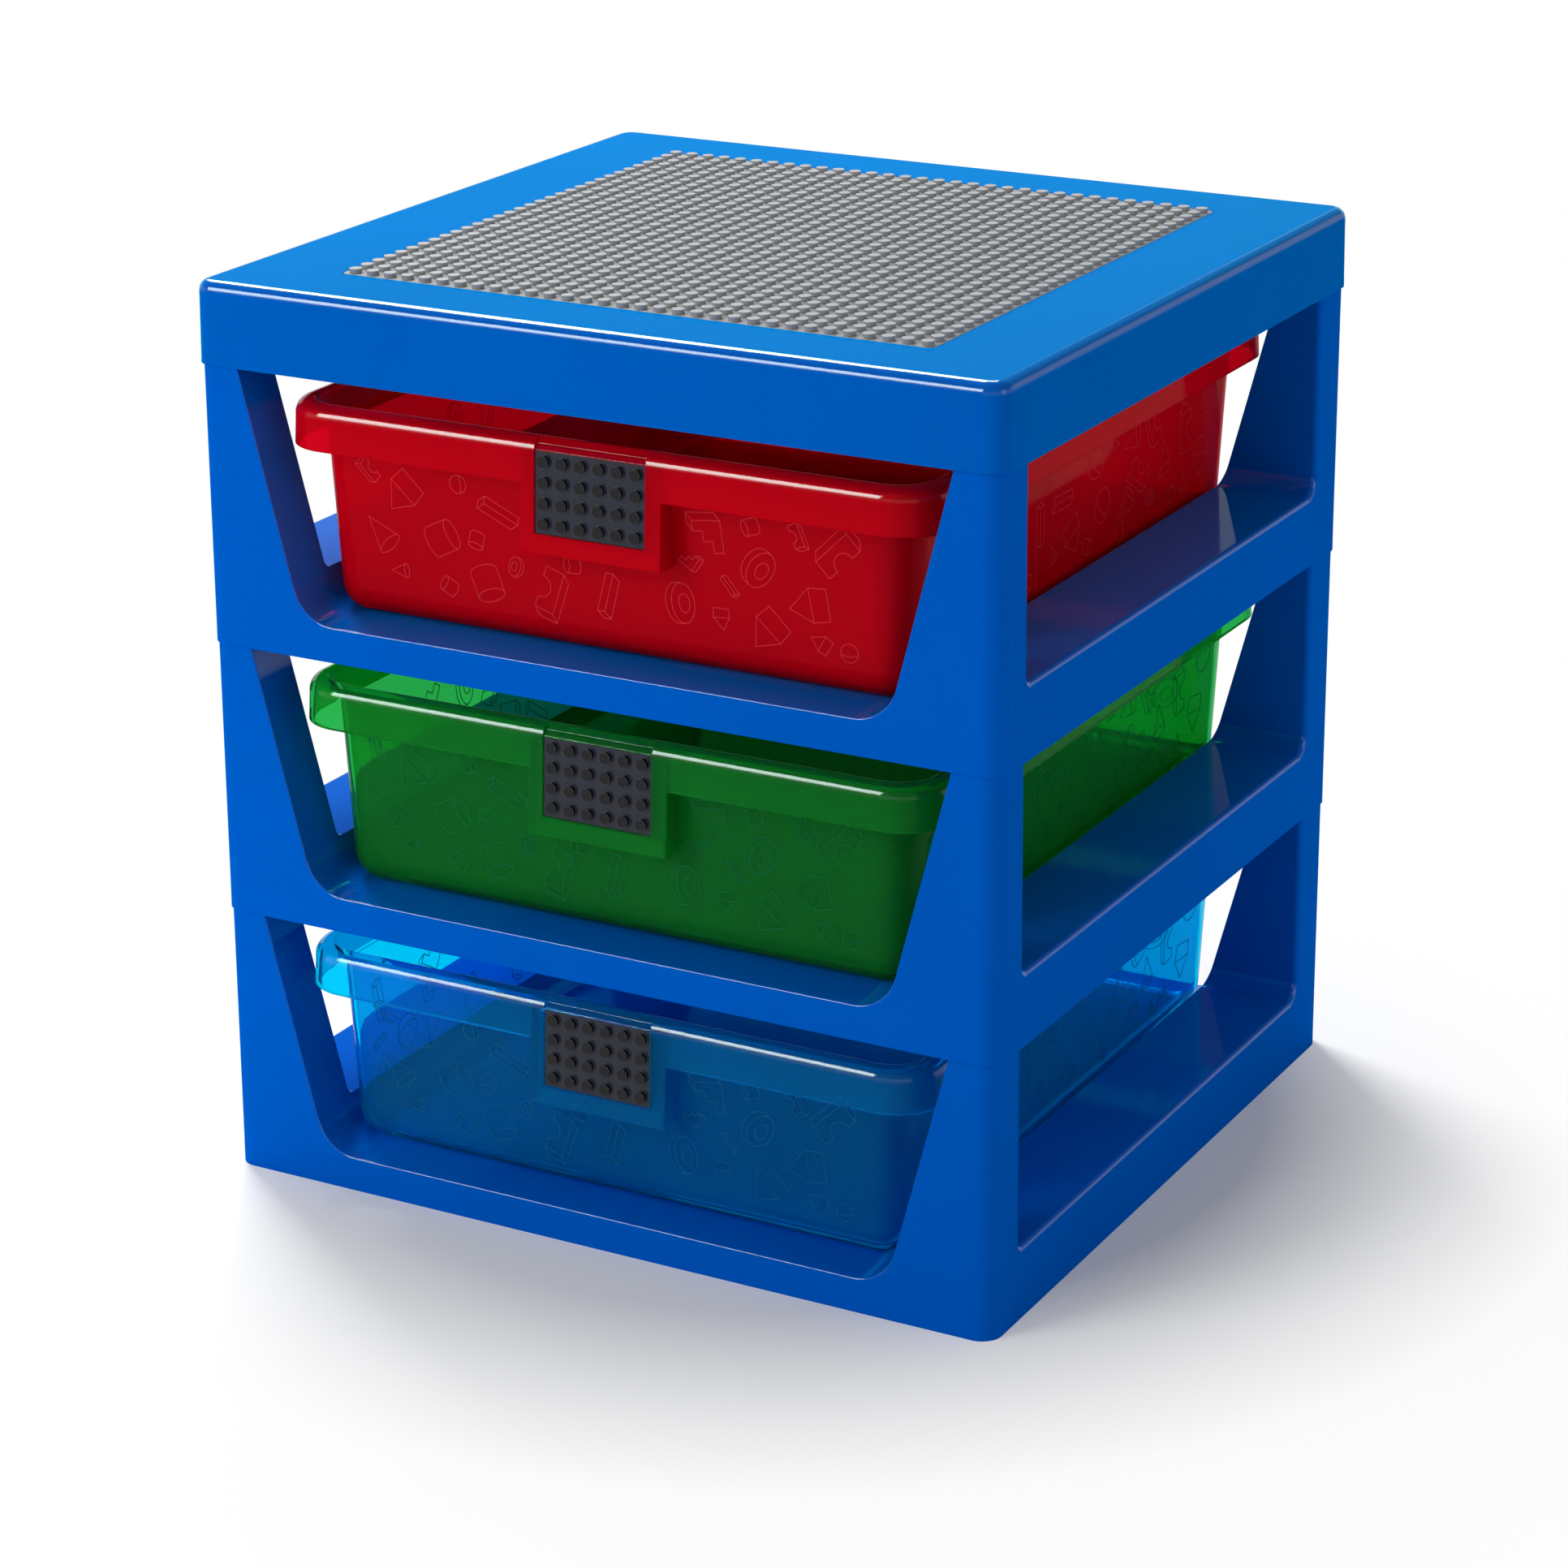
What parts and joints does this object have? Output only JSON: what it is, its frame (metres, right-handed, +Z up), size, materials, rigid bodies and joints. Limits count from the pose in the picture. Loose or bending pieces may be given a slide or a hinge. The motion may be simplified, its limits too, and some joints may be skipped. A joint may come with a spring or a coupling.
{
  "type": "drawer storage rack",
  "caption": "Stacked moulded frames with a studded lid and clear pull-out drawers, for storing small toys.",
  "frame": {"origin": "middle of the rack's foot, on the floor", "axes": "+X to the right, +Y to the back, +Z up; the drawers slide out along -Y"},
  "size_m": [0.3486, 0.3292, 0.3747],
  "materials": {
    "shell_blue": "glossy",
    "baseplate_grey": "satin",
    "clear_red": "clear glossy",
    "clear_green": "clear glossy",
    "clear_blue": "clear glossy",
    "handle_black": "satin"
  },
  "bodies": {
    "rack": {"top_lid": "shell_blue", "stud_baseplate": "baseplate_grey", "tier_frame_bottom": "shell_blue", "tier_frame_middle": "shell_blue", "tier_frame_top": "shell_blue"},
    "bottom_drawer": {"drawer_bottom": "clear_blue", "handle_plate_bottom": "handle_black"},
    "middle_drawer": {"drawer_middle": "clear_green", "handle_plate_middle": "handle_black"},
    "top_drawer": {"drawer_top": "clear_red", "handle_plate_top": "handle_black"}
  },
  "joints": [
    {"name": "bottom_slide", "type": "slide", "parent": "rack", "child": "bottom_drawer", "axis": [0, -1, 0], "range_m": [0, 0.26]},
    {"name": "middle_slide", "type": "slide", "parent": "rack", "child": "middle_drawer", "axis": [0, -1, 0], "range_m": [0, 0.26]},
    {"name": "top_slide", "type": "slide", "parent": "rack", "child": "top_drawer", "axis": [0, -1, 0], "range_m": [0, 0.26]}
  ]
}
